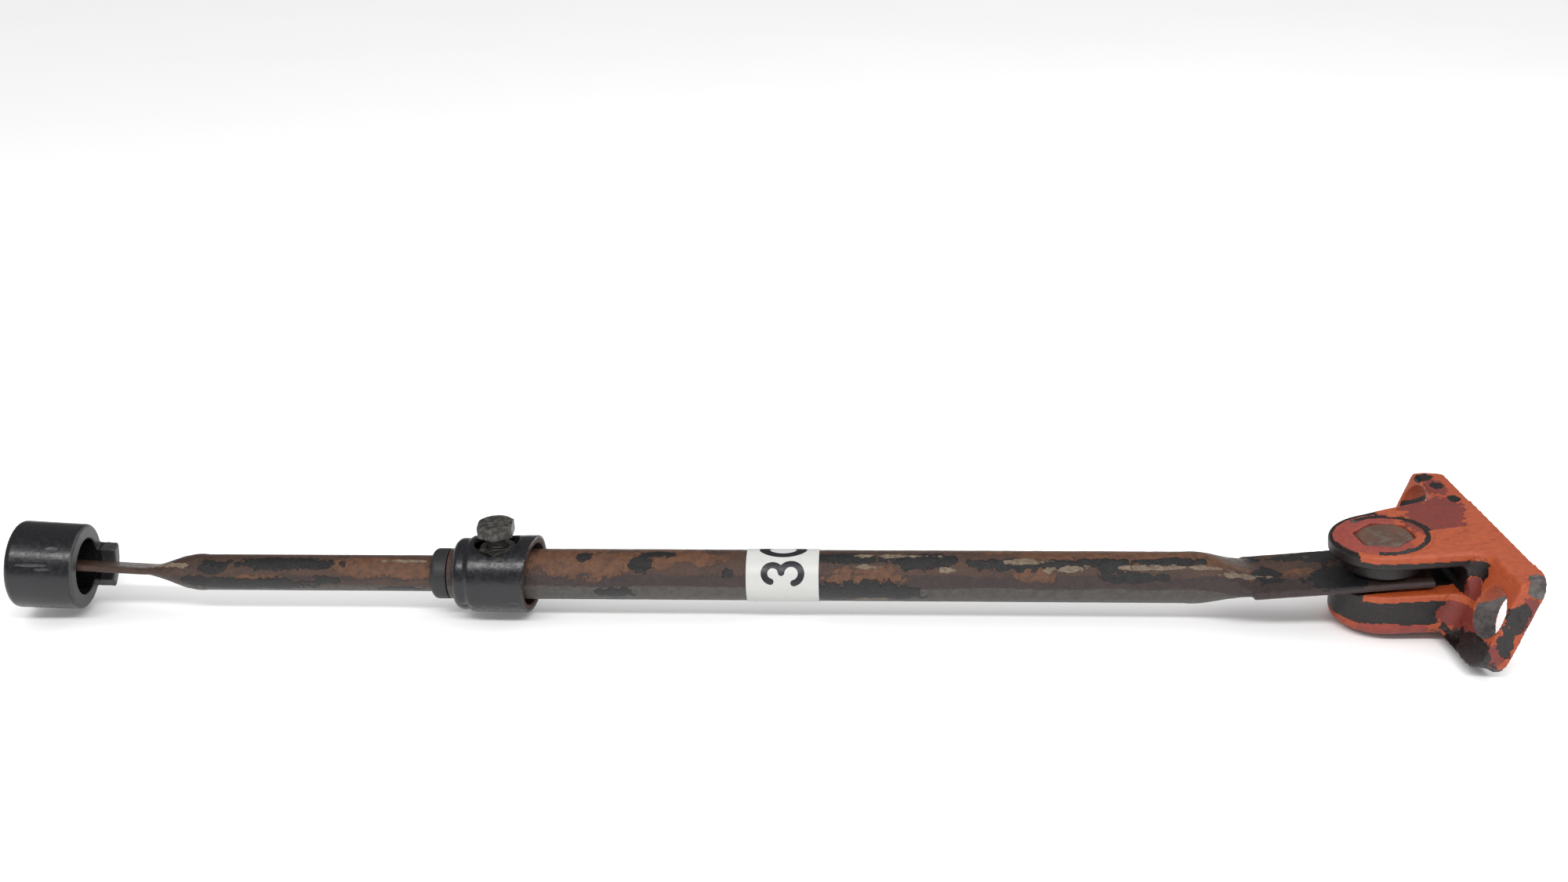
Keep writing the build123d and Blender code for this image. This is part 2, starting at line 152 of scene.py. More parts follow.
def blobs(coords, shapes):
    """1 at a patch's middle, 0 on its rim, below 0 outside: the highest over the patches."""
    level = np.full(len(coords), -2.0)
    for centre, radii in shapes:
        d = (coords - np.array(centre)) / np.array(radii)
        level = np.maximum(level, 1.0 - np.sqrt((d * d).sum(1)))
    return level


def in_bracket(p):
    """From the pivot in mm: x towards the plate, y across, z up the pivot's axis."""
    return (p - PIVOT) @ BRACKET_AXES / MM


def in_strut(p):
    """From the strut's axis in mm; then x again with the angle about it from +Y towards +Z."""
    q = (p - STRUT) / MM
    angle = np.degrees(np.arctan2(q[:, 2], q[:, 1])) % 360.0
    return q, np.stack([q[:, 0], angle], 1)


def read(mesh):
    """The places and normals of a mesh's vertices."""
    co = np.empty(len(mesh.vertices) * 3)
    no = np.empty(len(mesh.vertices) * 3)
    mesh.vertices.foreach_get("co", co)
    mesh.vertices.foreach_get("normal", no)
    return co.reshape(-1, 3), no.reshape(-1, 3)


def add_field(mesh, name, values):
    layer = mesh.attributes.new(name, "FLOAT", "POINT")
    layer.data.foreach_set("value", np.ascontiguousarray(values, dtype=np.float32))


def smooth_step(x, lo, hi):
    t = np.clip((x - lo) / (hi - lo), 0.0, 1.0)
    return t * t * (3.0 - 2.0 * t)


def cast(node, voxel_mm, smoothing, name):
    """A fine, smoothed copy of a CAD node that will stand for it."""
    copy = bpy.data.objects.new(name + "_src", nodes[node].data.copy())
    bpy.context.scene.collection.objects.link(copy)
    remesh = copy.modifiers.new("remesh", "REMESH")
    remesh.mode = "VOXEL"
    remesh.voxel_size = voxel_mm * MM
    smooth = copy.modifiers.new("smooth", "SMOOTH")
    smooth.factor = 0.5
    smooth.iterations = smoothing
    graph = bpy.context.evaluated_depsgraph_get()
    mesh = bpy.data.meshes.new_from_object(copy.evaluated_get(graph))
    bpy.data.objects.remove(copy)
    mesh.materials.clear()
    for layer in [a.name for a in mesh.attributes if a.name.startswith("UV")]:
        mesh.attributes.remove(mesh.attributes[layer])
    piece = bpy.data.objects.new(name, mesh)
    bpy.context.scene.collection.objects.link(piece)
    mesh.polygons.foreach_set("use_smooth", np.ones(len(mesh.polygons), bool))
    return piece


def shift(mesh, co, no, amount_mm):
    """Moves each vertex along its normal."""
    mesh.vertices.foreach_set("co", (co + no * (amount_mm * MM)[:, None]).ravel())
    mesh.update()


def settle(piece, body, node, material):
    piece.data.materials.append(material)
    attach(piece, body)
    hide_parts(node)


class Graph:
    """Builds one procedural material."""

    def __init__(self, name):
        self.material = bpy.data.materials.new(name)
        self.material.use_nodes = True
        self.tree = self.material.node_tree
        self.tree.nodes.clear()
        out = self.tree.nodes.new("ShaderNodeOutputMaterial")
        self.bsdf = self.tree.nodes.new("ShaderNodeBsdfPrincipled")
        self.tree.links.new(self.bsdf.outputs[0], out.inputs[0])
        self.coords = self.tree.nodes.new("ShaderNodeTexCoord").outputs["Object"]

    def put(self, socket, value):
        if isinstance(value, bpy.types.NodeSocket):
            self.tree.links.new(value, socket)
        else:
            socket.default_value = value

    def noise(self, size_mm, detail=4.0, roughness=0.6):
        node = self.tree.nodes.new("ShaderNodeTexNoise")
        node.inputs["Scale"].default_value = 1.0 / (size_mm * MM)
        node.inputs["Detail"].default_value = detail
        node.inputs["Roughness"].default_value = roughness
        self.put(node.inputs["Vector"], self.coords)
        return node.outputs["Fac"]

    def field(self, name):
        node = self.tree.nodes.new("ShaderNodeAttribute")
        node.attribute_name = name
        return node.outputs["Fac"]

    def math(self, kind, a, b):
        node = self.tree.nodes.new("ShaderNodeMath")
        node.operation = kind
        self.put(node.inputs[0], a)
        self.put(node.inputs[1], b)
        return node.outputs[0]

    def step(self, value, lo, hi, out_lo=0.0, out_hi=1.0):
        node = self.tree.nodes.new("ShaderNodeMapRange")
        node.interpolation_type = "SMOOTHSTEP"
        self.put(node.inputs["Value"], value)
        for key, number in (("From Min", lo), ("From Max", hi), ("To Min", out_lo), ("To Max", out_hi)):
            node.inputs[key].default_value = number
        return node.outputs["Result"]

    def blend(self, fac, a, b):
        """Mixes two colours: sockets 6 and 7 take them, and output 2 is the colour one."""
        node = self.tree.nodes.new("ShaderNodeMix")
        node.data_type = "RGBA"
        self.put(node.inputs["Factor"], fac)
        self.put(node.inputs[6], a)
        self.put(node.inputs[7], b)
        return node.outputs[2]

    def ragged(self, name, size_mm, amount, soft=0.04):
        """A patch mask whose rim is broken up by fine noise."""
        grain = self.math("MULTIPLY_ADD", self.noise(size_mm, 5.0, 0.65), amount)
        grain.node.inputs[2].default_value = -0.5 * amount
        return self.step(self.math("ADD", self.field(name), grain), -soft, soft)


def rgb(r, g, b, share=0.55):
    """An sRGB colour as seen under the studio light, 0 to 255, as the surface's own linear colour."""
    linear = [((c / 255 + 0.055) / 1.055) ** 2.4 if c > 10 else c / 255 / 12.92 for c in (r, g, b)]
    return (*[share * c for c in linear], 1.0)


def worn(name, base, layers, base_rough=(0.45, 0.7), pits=(1.1, 0.35, 0.12), relief_mm=0.12, metal=0.0):
    """A worn surface.

    base: three colours, coarse to fine.
    layers: (field, rim size in mm, rim amount, two colours, roughness, lift).
    base_rough: roughness of the smoothest and the roughest places.
    pits: (size of the pits in mm, height of the lumps, height of the pits).
    """
    g = Graph(name)
    broad = g.step(g.noise(16.0, 3.0), 0.38, 0.62)
    fine = g.step(g.noise(2.2, 6.0, 0.7), 0.35, 0.7)
    speck = g.step(g.noise(0.7, 3.0, 0.7), 0.55, 0.72)
    colour = g.blend(broad, base[0], base[1])
    colour = g.blend(g.math("MULTIPLY", fine, 0.6), colour, base[2])
    rough = g.step(fine, 0.0, 1.0, base_rough[0], base_rough[1])
    height = g.math("MULTIPLY", g.noise(pits[0], 4.0, 0.7), pits[2])
    lumps = g.math("MULTIPLY", g.noise(5.0, 3.0, 0.55), pits[1])
    height = g.math("ADD", height, lumps)
    for field, size, amount, dark, light, shine, lift in layers:
        mask = g.ragged(field, size, amount)
        tone = g.blend(g.step(g.noise(3.1, 5.0, 0.65), 0.36, 0.66), dark, light)
        colour = g.blend(mask, colour, tone)
        rough_node = g.tree.nodes.new("ShaderNodeMix")
        g.put(rough_node.inputs[0], mask)
        g.put(rough_node.inputs[2], rough)
        rough_node.inputs[3].default_value = shine
        rough = rough_node.outputs[0]
        height = g.math("ADD", height, g.math("MULTIPLY", mask, lift))
    colour = g.blend(g.math("MULTIPLY", speck, 0.35), colour, base[2])
    g.put(g.bsdf.inputs["Base Color"], colour)
    g.put(g.bsdf.inputs["Roughness"], rough)
    g.bsdf.inputs["Metallic"].default_value = metal
    g.bsdf.inputs["Specular IOR Level"].default_value = 0.5
    bump = g.tree.nodes.new("ShaderNodeBump")
    bump.inputs["Strength"].default_value = 0.9
    bump.inputs["Distance"].default_value = relief_mm * MM * 3.0
    g.put(bump.inputs["Height"], height)
    g.put(g.bsdf.inputs["Normal"], bump.outputs[0])
    return g.material


ORANGE = (rgb(206, 92, 42), rgb(196, 82, 36), rgb(178, 72, 40))
RUST_BROWN = (rgb(82, 55, 43), rgb(62, 44, 38), rgb(104, 72, 54))

bracket_paint = worn(
    "bracket_paint",
    ORANGE,
    [
        ("primer", 1.6, 0.9, rgb(150, 52, 40), rgb(132, 50, 42), 0.55, -0.5),
        ("pink", 1.6, 0.9, rgb(176, 72, 56), rgb(160, 62, 50), 0.55, -0.3),
        # The black layer is old black paint and also painted shade in the bracket's slot, under its plate
        # and in its far bolt hole.
        ("black", 1.5, 1.0, rgb(12, 11, 12), rgb(24, 21, 21), 0.45, -0.6),
        ("orange", 1.5, 0.9, rgb(206, 92, 42), rgb(190, 80, 36), 0.5, 0.4),
        ("bare", 1.5, 0.9, rgb(112, 108, 106), rgb(78, 75, 74), 0.42, -0.9),
    ],
    pits=(0.9, 0.5, 0.35),
)
tube_rust = worn(
    "tube_rust",
    RUST_BROWN,
    [
        # The grey layer is a painted reflection of the floor along the tubes' lower side.
        ("reflection_band", 1.6, 1.2, rgb(92, 88, 82), rgb(74, 69, 65), 0.42, 0.0),
        # The maroon layer is painted shade in a dark band just below the middle of the tubes.
        ("shade_band", 1.6, 1.2, rgb(56, 41, 41), rgb(68, 50, 48), 0.36, -0.2),
        ("tan", 1.3, 1.3, rgb(124, 80, 50), rgb(96, 62, 42), 0.4, -0.2),
        ("black", 1.2, 0.7, rgb(30, 30, 34), rgb(20, 20, 23), 0.34, 1.1),
        ("bare", 1.0, 0.9, rgb(150, 132, 110), rgb(120, 100, 80), 0.42, -0.2),
    ],
    base_rough=(0.3, 0.52),
    pits=(0.8, 0.5, 0.9),
    relief_mm=0.2,
)
dark_steel = worn(
    "dark_steel",
    (rgb(62, 60, 58), rgb(50, 48, 46), rgb(84, 80, 76)),
    [("bare", 0.9, 0.5, rgb(112, 108, 102), rgb(84, 80, 76), 0.4, -0.2)],
    base_rough=(0.34, 0.55),
    pits=(0.7, 0.3, 0.7),
    relief_mm=0.08,
    metal=0.35,
)
bolt_rust = worn(
    "bolt_rust",
    (rgb(132, 88, 66), rgb(116, 82, 66), rgb(100, 80, 70)),
    [("bare", 1.4, 0.6, rgb(128, 112, 98), rgb(112, 96, 84), 0.42, 0.0)],
    base_rough=(0.4, 0.6),
    pits=(0.8, 0.35, 0.5),
    relief_mm=0.07,
    metal=0.2,
)
black_satin = worn(
    "black_satin",
    (rgb(32, 32, 38), rgb(27, 27, 32), rgb(42, 42, 45)),
    [
        ("bare", 1.2, 0.5, rgb(74, 74, 74), rgb(62, 62, 62), 0.45, -0.2),
        ("rust", 1.6, 0.6, rgb(92, 58, 42), rgb(70, 48, 38), 0.7, 0.3),
    ],
    base_rough=(0.26, 0.4),
    pits=(2.2, 0.3, 0.05),
    relief_mm=0.05,
)
grey_steel = worn(
    "grey_steel",
    (rgb(96, 95, 92), rgb(84, 83, 80), rgb(112, 108, 102)),
    [("bare", 1.2, 0.5, rgb(120, 116, 108), rgb(100, 96, 90), 0.42, 0.0)],
    pits=(0.9, 0.3, 0.3),
    relief_mm=0.05,
    metal=0.4,
)
black_polymer = worn(
    "black_polymer",
    (rgb(44, 44, 45), rgb(38, 38, 39), rgb(54, 53, 52)),
    [],
    base_rough=(0.5, 0.62),
    pits=(0.9, 0.2, 0.12),
    relief_mm=0.05,
)


def label_film():
    g = Graph("label_film")
    dirt = g.step(g.noise(6.0, 5.0, 0.7), 0.5, 0.8, 0.0, 0.35)
    paper = g.blend(dirt, rgb(232, 232, 229), rgb(196, 192, 180))
    ink = g.step(g.field("ink"), -0.06, 0.06)
    g.put(g.bsdf.inputs["Base Color"], g.blend(ink, paper, rgb(34, 33, 44)))
    g.put(g.bsdf.inputs["Roughness"], g.step(g.noise(1.5, 3.0), 0.3, 0.7, 0.36, 0.5))
    bump = g.tree.nodes.new("ShaderNodeBump")
    bump.inputs["Distance"].default_value = 0.05 * MM
    g.put(bump.inputs["Height"], g.noise(4.0, 4.0, 0.6))
    g.put(g.bsdf.inputs["Normal"], bump.outputs[0])
    return g.material


def bracket_fields(points, normals):
    """A casting with several coats of paint, worn to black and to red primer; the black also stands for
    painted shade in the slot, under the plate and in the far bolt hole.
    """
    b = in_bracket(points)
    x, y, z = b.T
    facing = normals @ BRACKET_AXES
    radius = np.hypot(x, y)
    near = y < 0.0
    ear = (x < 23.5 + 0.467 * z) & (np.abs(y) < 33.0)
    rough = fbm(points, 5.0, 3)
    broad = fbm(points, 14.0, 11)

    primer = blobs(b, [
        ((27, 6, 17), (14, 15, 5)), ((36, 20, 17), (9, 15, 5)), ((24, 22, 17), (9, 10, 5)),
        ((35, -17, 17), (9, 3, 4)), ((24, -40, -9), (6, 8, 11)), ((22, -37, -18), (7, 7, 5)),
        ((27, -62, -16), (6, 6, 6)), ((42, -62, 0), (5, 6, 10)), ((42, 45, 17), (5, 9, 5)),
        ((30, 52, -14), (9, 9, 9)), ((48, 5, -8), (8, 20, 6)),
    ]) + 0.22 * rough
    streak = blobs(b, [
        ((30, -31, 0), (5, 6, 7)), ((24, -30, -8), (6, 7, 8)), ((20, -29, -13), (6, 7, 5)),
    ]) + 0.2 * rough
    primer = np.maximum(primer, streak)

    ear_top = (z > 12.0) & (radius < 23.8) & (x < 9.0 + 4.0 * broad)
    ear_underside = (z < -17.6 + 1.5 * broad) & (x < 12) & (x > -18)
    pink = np.where(ear_top | ear_underside, 0.5, -1.0) + 0.25 * rough

    ring = 1.0 - np.abs(radius - 20.2) / (1.9 + 0.7 * broad)
    ring = np.where((z > 11.0) & (x < 27) & (x > -9.0 + 3.0 * broad), ring, -1.0)
    rim = np.where(near, 21.8, 23.0) + 0.6 * rough
    nose = np.where((z > 8.5) & (x < 5.0) & (radius > rim), 0.6, -1.0)
    sides = np.where(ear & (z < 13.4) & (z > -18.0 + 1.5 * broad), 0.7, -1.0)
    foot = np.where((z < -13.0 + 4.0 * broad) & (y < -36.0) & (y > -61.0), 0.4, -1.0)
    in_slot = (z > -4.2) & (z < 10.4) & (x < 29.3) & (np.abs(y) < 34)
    # Painted shade: the whole slot between the ears is painted black.
    slot_shade = np.where(in_slot, 0.8, -1.0)
    # Painted shade: the plate's downward faces are painted black.
    below = np.where((z < -12) & (facing[:, 2] < -0.5) & (x > 20), 0.5, -1.0)
    patches = blobs(b, [
        ((33, -30, 6), (6, 6, 9)), ((36, -63, 0), (5, 7, 8)), ((21, -58, -18), (5, 9, 8)),
        ((19, -46, -24), (12, 20, 9)), ((31, -63, -9), (4, 6, 10)), ((39, -63, 4), (3, 6, 4)),
        ((45, 30, 17), (2.5, 4, 3)), ((47, -8, 17), (2, 3, 3)), ((40, 58, 17), (5, 4, 4)),
        ((43, 47, 17), (3, 5, 4)), ((41, -52, 16), (4, 3, 3)), ((30, 42, -2), (8, 6, 14)),
    ])
    black = np.maximum.reduce([ring, nose, sides, slot_shade, below, foot, patches]) + 0.25 * rough
    black = np.where(streak > 0.0, -streak, black)

    upper_band = near & (z > 13.6) & (x > -17) & (radius > 20.5)
    lower_band = near & (z > -6.4) & (z < -3.0) & (x > -16) & (x < 30) & (y < -17)
    orange = np.where(upper_band | lower_band, 0.5, -1.0)
    orange = np.maximum(orange, blobs(b, [((14, 21.5, 17), (5.5, 3.2, 4))])) + 0.3 * rough

    # The plate leans, so its bolt holes look narrower in z. The near bore is bare; the far one is painted
    # black as shade.
    hole = np.minimum(*(np.hypot(y - hy, (z - hz) / PLATE_COS) for hy, hz in PLATE_HOLES))
    upright = np.abs(facing @ np.array([PLATE_COS, 0.0, -PLATE_SIN])) < 0.6
    bore_wall = (hole < BORE_REACH) & upright & (x > 8)
    black = np.where(bore_wall & ~near, 0.6, black)
    bare = np.where(bore_wall & near, 0.6, -1.0)
    bare = np.maximum(bare, blobs(b, [
        ((47, -60, 14), (7, 6, 5)), ((22, -45, -29), (12, 20, 4.5)), ((-8, 18, 17), (2, 2, 2)),
    ])) + 0.25 * rough

    wear = fbm(points, 2.2, 17, 3)
    primer, pink, black, orange = (level + 0.28 * wear for level in (primer, pink, black, orange))
    sink = 0.10 * smooth_step(primer, -0.05, 0.05) + 0.14 * smooth_step(black, -0.05, 0.05)
    sink = sink + 0.2 * smooth_step(bare, -0.05, 0.05) * (1.0 + 0.8 * rough) - 0.06 * broad
    chip = blobs(b, [((24, -57, -29), (8, 8, 6)), ((30, -40, -31), (6, 8, 3))])
    sink = sink + 1.6 * smooth_step(chip + 0.3 * rough, 0.0, 0.7)
    return {"primer": primer, "pink": pink, "black": black, "orange": orange, "bare": bare}, sink


def outer_fields(points, normals):
    """Rust with islands of black scale; blobs are in mm along the strut and degrees about it."""
    q, polar = in_strut(points)
    x, y, z = q.T
    lumps = fbm(points, 4.5, 21)
    wide = fbm(points, 15.0, 31)
    angle = polar[:, 1]
    skin = (np.hypot(y, z) > 11.4) | (x > -92)
    black = blobs(polar, [
        ((-250, 112), (17, 16)), ((-217, 118), (15, 22)), ((-178, 125), (17, 15)), ((-152, 126), (10, 12)),
        ((-246, 196), (26, 30)), ((-352, 128), (6, 20)), ((-345, 100), (7, 12)), ((-366, 200), (9, 15)),
        ((-310, 150), (3, 14)), ((-128, 124), (8, 20)), ((-100, 118), (17, 12)), ((-116, 156), (16, 10)),
        ((-66, 205), (5, 12)), ((-140, 118), (4, 10)), ((-380, 110), (4, 12)), ((-290, 300), (60, 25)),
        ((-150, 290), (45, 30)), ((-390, 330), (30, 30)),
    ])
    # The flattened eye end has its own islands, laid out in x and y, with a small round gap in them.
    flat = blobs(q[:, :2], [
        ((-20, 14), (26, 7)), ((-54, -3), (7, 8)), ((-24, -10), (12, 14)), ((-60, 14), (4, 3)),
    ])
    flat = np.where((x > -62) & (normals[:, 2] > 0.3), flat, -1.0)
    hole = np.hypot(x + 33.0, y - 14.0) < 1.4
    black = np.maximum(black, flat) + 0.5 * lumps + 0.35 * fbm(points, 1.8, 25, 3)
    black = np.where(hole | ~skin, -1.0, black)
    tan = blobs(polar, [
        ((-392, 120), (34, 40)), ((-340, 110), (26, 30)), ((-244, 142), (11, 12)), ((-244, 162), (16, 12)),
        ((-120, 90), (60, 26)), ((-165, 150), (12, 14)), ((-90, 100), (40, 30)), ((-45, 110), (22, 40)),
    ]) + 0.6 * wide + 0.4 * lumps
    bare = blobs(polar, [
        ((-232, 104), (20, 6)), ((-246, 135), (10, 9)), ((-205, 140), (6, 8)), ((-170, 118), (12, 8)),
        ((-245, 218), (14, 8)), ((-100, 132), (34, 7)), ((-66, 148), (18, 9)), ((-40, 200), (20, 9)),
        ((-150, 138), (9, 9)),
    ]) + 0.9 * lumps - 0.25
    # Painted reflection: a lighter grey band along the tube's lower side at about 208 degrees, the whole
    # length.
    reflection_band = 1.0 - np.abs(angle - 208.0) / 32.0 + 0.3 * wide
    # Painted shade: a dark band at about 168 degrees, just below the tube's middle, the whole length.
    shade_band = 1.0 - np.abs(angle - 168.0) / 14.0 + 0.4 * wide
    sink = 0.12 * (1.0 - smooth_step(black, -0.06, 0.06)) + 0.05 * (1.0 + lumps)
    sink = sink + 0.05 * smooth_step(tan, 0.0, 0.4)
    sink = np.where(skin, sink, 0.0)
    return {"black": black, "tan": tan, "bare": bare, "reflection_band": reflection_band, "shade_band": shade_band}, sink


def inner_fields(points, normals):
    """As the outer tube, with brown islands left open in the black."""
    q, polar = in_strut(points)
    lumps = fbm(points, 4.0, 41)
    wide = fbm(points, 13.0, 51)
    angle = polar[:, 1]
    black = blobs(polar, [
        ((-530, 122), (27, 22)), ((-566, 138), (7, 22)), ((-548, 196), (31, 26)), ((-575, 180), (6, 14)),
        ((-512, 178), (10, 14)), ((-470, 215), (10, 12)), ((-480, 300), (40, 30)),
    ])
    islands = blobs(polar, [((-546, 168), (14, 9)), ((-516, 174), (7, 10))])
    black = np.minimum(black, 0.25 - islands) + 0.5 * lumps + 0.35 * fbm(points, 1.8, 45, 3)
    tan = blobs(polar, [
        ((-480, 135), (30, 36)), ((-545, 168), (12, 10)), ((-425, 150), (60, 30)),
    ]) + 0.4 * wide
    bare = blobs(polar, [((-590, 130), (12, 12)), ((-470, 112), (16, 8))]) + 0.9 * lumps - 0.3
    # Painted reflection: a lighter grey band along the lower side at about 214 degrees.
    reflection_band = 1.0 - np.abs(angle - 214.0) / 26.0 + 0.3 * wide - 0.4
    # Painted shade: a dark band at about 172 degrees, just below the middle.
    shade_band = 0.4 - np.abs(angle - 172.0) / 16.0 + 0.4 * wide
    sink = 0.09 * (1.0 - smooth_step(black, -0.06, 0.06)) + 0.03 * (1.0 + lumps)
    sink = np.where(np.hypot(q[:, 1], q[:, 2]) > 8.2, sink, 0.0)
    return {"black": black, "tan": tan, "bare": bare, "reflection_band": reflection_band, "shade_band": shade_band}, sink


def collar_fields(points, normals):
    """Satin black, rusty inside the mouth, with a dent and a nick."""
    q, polar = in_strut(points)
    radius = np.hypot(q[:, 1], q[:, 2])
    lumps = fbm(points, 3.5, 61)
    mouth = np.abs(normals[:, 0]) > 0.5
    bare = 0.3 * lumps - 0.35 + 0.35 * mouth
    rust = np.where((q[:, 0] > -413.0) & (radius < 17.6), 0.4, -1.0) + 0.3 * lumps
    dent = blobs(polar, [((-438, 216), (3.6, 9))])
    nick = blobs(polar, [((-414, 207), (2.5, 5))])
    sink = 0.06 * (1.0 + lumps) + 0.7 * np.clip(dent, 0, 1) + 0.3 * np.clip(nick, 0, 1)
    sink = np.where(radius > 16.0, sink, 0.0)
    return {"bare": bare, "rust": rust}, sink


def ring_fields(points, normals):
    """Black outside with scratches, barer on the face that points at the tube."""
    q, polar = in_strut(points)
    lumps = fbm(points, 4.0, 71)
    face = (normals[:, 0] > 0.55) | (q[:, 0] > -632.0)
    bare = np.where(face, 0.35, -0.55) + 0.25 * lumps
    scratch = blobs(polar, [((-641, 128), (3.2, 3)), ((-650, 147), (8, 1.6)), ((-645, 152), (4, 1.4))])
    sink = 0.04 * (1.0 + lumps) + 0.16 * np.clip(scratch * 2.0, 0, 1)
    return {"bare": np.maximum(bare, scratch), "rust": -1.0 + 0.0 * lumps}, sink


def plain_fields(points, normals):
    """An even, light wear."""
    lumps = fbm(points, 2.5, 81)
    return {"bare": 0.5 * lumps - 0.1, "rust": 0.0 * lumps - 1.0}, 0.03 * (1.0 + lumps)


def bolt_fields(points, normals):
    """The set bolt's shank has an M10 thread, and its head is worn and pitted."""
    lumps = fbm(points, 1.6, 91)
    height = in_strut(points)[0][:, 2]
    x, y = ((points - SET_BOLT) / MM).T[:2]
    r = np.hypot(x, y)
    phase = height / THREAD_PITCH + np.arctan2(y, x) / (2 * math.pi)
    groove = np.abs((phase % 1.0) - 0.5) * 2.0
    shank = (height < 20.9) & (r > 4.2) & (r < 5.4)
    sink = np.where(shank, THREAD_DEPTH * groove, 0.09 * (1.0 + lumps))
    return {"bare": np.where(height > 21.0, 0.6 * lumps, -0.4 + 0.4 * lumps)}, sink


def worn_piece(node, voxel_mm, smoothing, name, body, slot, material, fields):
    """A copy of a CAD node with its wear as vertex fields and its worn places pressed in."""
    piece = cast(node, voxel_mm, smoothing, name)
    points, normals = read(piece.data)
    layers, sink = fields(points, normals)
    for key, values in layers.items():
        add_field(piece.data, key, values)
    shift(piece.data, points, normals, -np.clip(sink, 0.0, DEEPEST_SINK))
    settle(piece, body, node, material)


for row in (
    ("bracket", 0.62, 3, "bracket_worn", "bracket", "bracket_paint", bracket_paint, bracket_fields),
    ("outer_tube", 0.66, 2, "outer_tube_worn", "outer_tube", "tube_rust", tube_rust, outer_fields),
    ("inner_tube", 0.6, 2, "inner_tube_worn", "inner_tube", "tube_rust", tube_rust, inner_fields),
    ("collar", 0.45, 3, "collar_worn", "outer_tube", "black_satin", black_satin, collar_fields),
    ("end_ring", 0.5, 3, "end_ring_worn", "inner_tube", "black_satin", black_satin, ring_fields),
    ("guide_bush", 0.45, 2, "guide_bush_worn", "outer_tube", "black_polymer", black_polymer, plain_fields),
    ("set_bolt", 0.22, 2, "set_bolt_threaded", "set_bolt", "dark_steel", dark_steel, bolt_fields),
    ("lock_nut", 0.3, 2, "lock_nut_worn", "outer_tube", "dark_steel", dark_steel, plain_fields),
    ("pivot_bolt", 0.35, 2, "pivot_bolt_worn", "bracket", "bolt_rust", bolt_rust, plain_fields),
    ("pivot_nut", 0.4, 2, "pivot_nut_worn", "bracket", "bolt_rust", bolt_rust, plain_fields),
):
    worn_piece(*row)


def arc_distance(u, v, cu, cv, r, a0, a1):
    """Distance from (u, v) to an arc; angles in degrees, counter-clockwise from a0 to a1."""
    a = (np.degrees(np.arctan2(v - cv, u - cu)) - a0) % 360.0
    inside = a <= (a1 - a0)
    on_arc = np.abs(np.hypot(u - cu, v - cv) - r)
    ends = []
    for end in (math.radians(a0), math.radians(a1)):
        ends.append(np.hypot(u - cu - r * math.cos(end), v - cv - r * math.sin(end)))
    return np.where(inside, on_arc, np.minimum(*ends))


def digits(u, v):
    """How deep a point lies inside the strokes of a plain 30, in mm; below 0 outside."""
    three = np.minimum(
        arc_distance(u, v, 0.0, 4.6, 4.1, -80.0, 165.0),
        arc_distance(u, v, 0.0, -4.3, 4.8, -165.0, 85.0),
    )
    zero = np.abs(np.hypot((u - 15.0) / 5.0, v / 9.0) - 1.0) * 5.6
    return HALF_STROKE - np.minimum(three, zero)


def wrap_label():
    """A thin film with rounded corners round the outer tube, with two plain digits."""
    low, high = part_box("label")
    x0, x1 = low[0], high[0]
    radius = LABEL_RADIUS * MM
    xs = np.linspace(x0 + LABEL_MARGIN, x1 - LABEL_MARGIN, LABEL_ROWS)
    edge = np.minimum(xs - x0, x1 - xs)
    rounding = LABEL_CORNER - np.sqrt(np.maximum(LABEL_CORNER**2 - (LABEL_CORNER - edge) ** 2, 0.0))
    inset = np.where(edge < LABEL_CORNER, rounding, 0.0) / radius
    start, end = (math.radians(a) for a in LABEL_ARC)
    t = np.linspace(0.0, 1.0, LABEL_COLS)
    angles = (start + inset)[:, None] + (end - start - 2 * inset)[:, None] * t[None, :]
    along = np.repeat(xs[:, None], LABEL_COLS, 1)

    # u runs around the tube (reading direction), v towards the ring (the digits' up), in mm.
    u = -(angles - math.radians(DIGITS_AT)) * LABEL_RADIUS
    v = -(along - (x0 + x1) / 2) / MM

    across = STRUT[1] + radius * np.cos(angles)
    upward = STRUT[2] + radius * np.sin(angles)
    verts = np.stack([along, across, upward], 2).reshape(-1, 3)
    index = np.arange(LABEL_ROWS * LABEL_COLS).reshape(LABEL_ROWS, LABEL_COLS)
    faces = np.stack([index[:-1, :-1], index[:-1, 1:], index[1:, 1:], index[1:, :-1]], 2).reshape(-1, 4)
    mesh = bpy.data.meshes.new("label_wrap")
    mesh.from_pydata(verts.tolist(), [], faces.tolist())
    mesh.polygons.foreach_set("use_smooth", np.ones(len(mesh.polygons), bool))
    add_field(mesh, "ink", digits(u, v).ravel())
    label = bpy.data.objects.new("label_wrap", mesh)
    bpy.context.scene.collection.objects.link(label)
    film = label.modifiers.new("film", "SOLIDIFY")
    film.thickness = FILM_THICKNESS
    film.offset = 0.0
    settle(label, "outer_tube", "label", label_film())


wrap_label()

# Small fittings keep their CAD shape.
for node, material in (
    ("pivot_spring_washer", dark_steel),
    ("wear_washer_upper", grey_steel),
    ("wear_washer_lower", grey_steel),
    ("pressure_pad", dark_steel),
    ("rear_guide_ring", black_polymer),
):
    data = nodes[node].data
    data.materials.clear()
    data.materials.append(material)


def paper_floor(z):
    mesh = bpy.data.meshes.new("floor")
    corners = [(side_x * FLOOR_HALF, side_y * FLOOR_HALF, z) for side_x, side_y in FLOOR_CORNERS]
    mesh.from_pydata(corners, [], [(0, 1, 2, 3)])
    floor = bpy.data.objects.new("floor", mesh)
    bpy.context.scene.collection.objects.link(floor)
    look = Graph("floor_paper")
    tone = look.blend(look.noise(300.0, 2.0), rgb(246, 246, 246, 1.0), rgb(250, 250, 250, 1.0))
    look.put(look.bsdf.inputs["Base Color"], tone)
    look.bsdf.inputs["Roughness"].default_value = 0.9
    mesh.materials.append(look.material)


